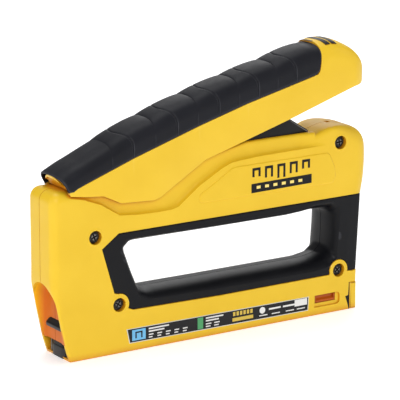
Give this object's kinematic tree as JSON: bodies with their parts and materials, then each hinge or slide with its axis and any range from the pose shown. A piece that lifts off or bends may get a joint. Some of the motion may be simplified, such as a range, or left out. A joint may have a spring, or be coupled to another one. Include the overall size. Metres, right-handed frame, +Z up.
{
  "type": "hand staple gun",
  "caption": "Hand-squeezed staple gun with a sprung top lever, inner lever and striker, a closed hand window and a slide-out magazine.",
  "frame": {"origin": "middle of the whole tool's length and width, on the flat base that it stands on", "axes": "+X from the nose to the tail, +Y to the right side, +Z up"},
  "size_m": [0.2068, 0.027, 0.1575],
  "materials": {
    "yellow_plastic": "satin moulded",
    "black_rubber": "soft-touch moulded",
    "black_steel": "black oxide",
    "bright_steel": "zinc plated",
    "spring_steel": "bright spring wire",
    "amber_plastic": "satin moulded"
  },
  "bodies": {
    "casing": {"left_shell": "yellow_plastic", "right_shell": "yellow_plastic", "left_window_grip": "black_rubber", "right_window_grip": "black_rubber", "casing_screw_front_upper": "black_steel", "casing_screw_front_lower": "black_steel", "casing_screw_rear_upper": "black_steel", "casing_screw_rear_lower": "black_steel", "nose_guide": "black_steel", "spring_seat": "black_steel", "impact_bumper": "black_rubber", "bumper_plate": "bright_steel", "lever_pivot_pin": "bright_steel", "inner_lever_pin": "bright_steel", "magazine_channel": "bright_steel", "power_spring": "spring_steel", "left_latch_spring": "spring_steel", "right_latch_spring": "spring_steel"},
    "lever": {"lever_handle": "yellow_plastic", "lever_grip": "black_rubber", "roller_axle": "bright_steel"},
    "roller": {"push_roller": "bright_steel"},
    "inner_lever": {"inner_lever": "black_steel"},
    "striker": {"striker_block": "bright_steel", "striker_blade": "bright_steel", "lift_pin": "bright_steel"},
    "magazine": {"staple_rail": "bright_steel", "magazine_end_cap": "yellow_plastic", "pusher_rod": "bright_steel", "pusher_spring": "spring_steel"},
    "pusher": {"staple_pusher": "black_steel"},
    "left_latch": {"left_magazine_latch": "amber_plastic"},
    "right_latch": {"right_magazine_latch": "amber_plastic"}
  },
  "joints": [
    {"name": "lever_hinge", "type": "hinge", "parent": "casing", "child": "lever", "pos_m": [-0.0499, 0, 0.088], "axis": [0, 1, 0], "range_deg": [0, 6], "stiffness_Nm_per_rad": 20, "springref_deg": -5.73},
    {"name": "roller_spin", "type": "hinge", "parent": "lever", "child": "roller", "pos_m": [0.0411, 0, 0.1282], "axis": [0, 1, 0], "continuous": true},
    {"name": "inner_lever_hinge", "type": "hinge", "parent": "casing", "child": "inner_lever", "pos_m": [-0.0129, 0, 0.086], "axis": [0, 1, 0], "range_deg": [0, 9.5]},
    {"name": "striker_lift", "type": "slide", "parent": "casing", "child": "striker", "axis": [0, 0, 1], "range_m": [0, 0.0118], "deforming": ["power_spring"]},
    {"name": "magazine_slide", "type": "slide", "parent": "casing", "child": "magazine", "axis": [1, 0, 0], "range_m": [0, 0.11]},
    {"name": "pusher_slide", "type": "slide", "parent": "magazine", "child": "pusher", "axis": [1, 0, 0], "range_m": [0, 0.12], "stiffness_N_per_m": 30, "springref_m": -0.05, "deforming": ["pusher_spring"]},
    {"name": "left_latch_press", "type": "slide", "parent": "casing", "child": "left_latch", "axis": [0, 1, 0], "range_m": [0, 0.001], "stiffness_N_per_m": 800, "springref_m": -0.001, "deforming": ["left_latch_spring"]},
    {"name": "right_latch_press", "type": "slide", "parent": "casing", "child": "right_latch", "axis": [0, -1, 0], "range_m": [0, 0.001], "stiffness_N_per_m": 800, "springref_m": -0.001, "deforming": ["right_latch_spring"]}
  ],
  "couplings": [
    {"joint": "inner_lever_hinge", "follows": "lever_hinge", "ratio": 1.5667},
    {"joint": "striker_lift", "follows": "lever_hinge", "m_per_rad": 0.1112}
  ]
}
